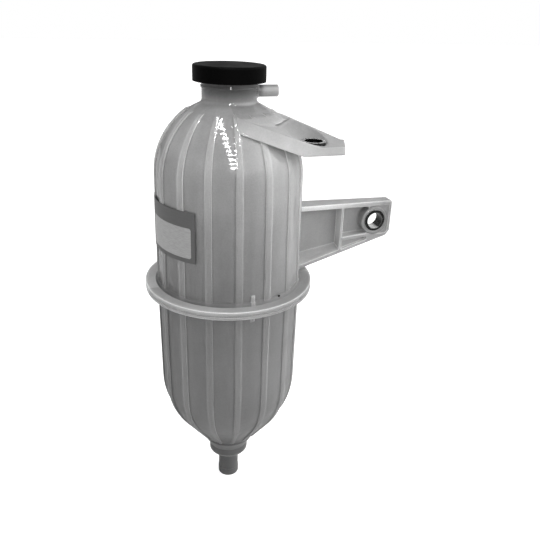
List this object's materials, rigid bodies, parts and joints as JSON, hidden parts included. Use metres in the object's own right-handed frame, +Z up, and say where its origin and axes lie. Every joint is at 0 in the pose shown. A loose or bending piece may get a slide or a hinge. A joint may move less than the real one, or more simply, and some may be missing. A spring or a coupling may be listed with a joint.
{
  "type": "coolant expansion tank",
  "caption": "Upright ribbed plastic expansion tank with a domed top, welded flange, screw cap, side brackets with steel bushes, an overflow nipple and a bottom hose outlet.",
  "frame": {"origin": "centre of the outlet nipple's lower end, on the tank's axis", "axes": "+Z up along the tank's axis, +X towards both brackets and the overflow nipple, the lower bracket's bolt along Y"},
  "size_m": [0.1865, 0.121, 0.3339],
  "materials": {
    "shell": "natural translucent plastic, slightly glossy",
    "cap": "black, moulded",
    "seal": "black rubber",
    "bush": "turned steel, darkened",
    "label": "bare foil label with a dark header band and border"
  },
  "bodies": {
    "tank": {"upper_shell": "shell", "lower_shell": "shell", "upper_bush": "bush", "lower_bush": "bush", "label": "label"},
    "seal": {"cap_seal": "seal"},
    "cap": {"screw_cap": "cap"}
  },
  "joints": [
    {"name": "cap_lift", "type": "slide", "parent": "tank", "child": "seal", "axis": [0, 0, 1], "range_m": [0, 0.00701]},
    {"name": "cap_turn", "type": "hinge", "parent": "seal", "child": "cap", "pos_m": [0, 0, 0.3296], "axis": [0, 0, 1], "range_deg": [0, 630]}
  ],
  "couplings": [
    {"joint": "cap_lift", "follows": "cap_turn", "m_per_rad": 0.00063662}
  ]
}
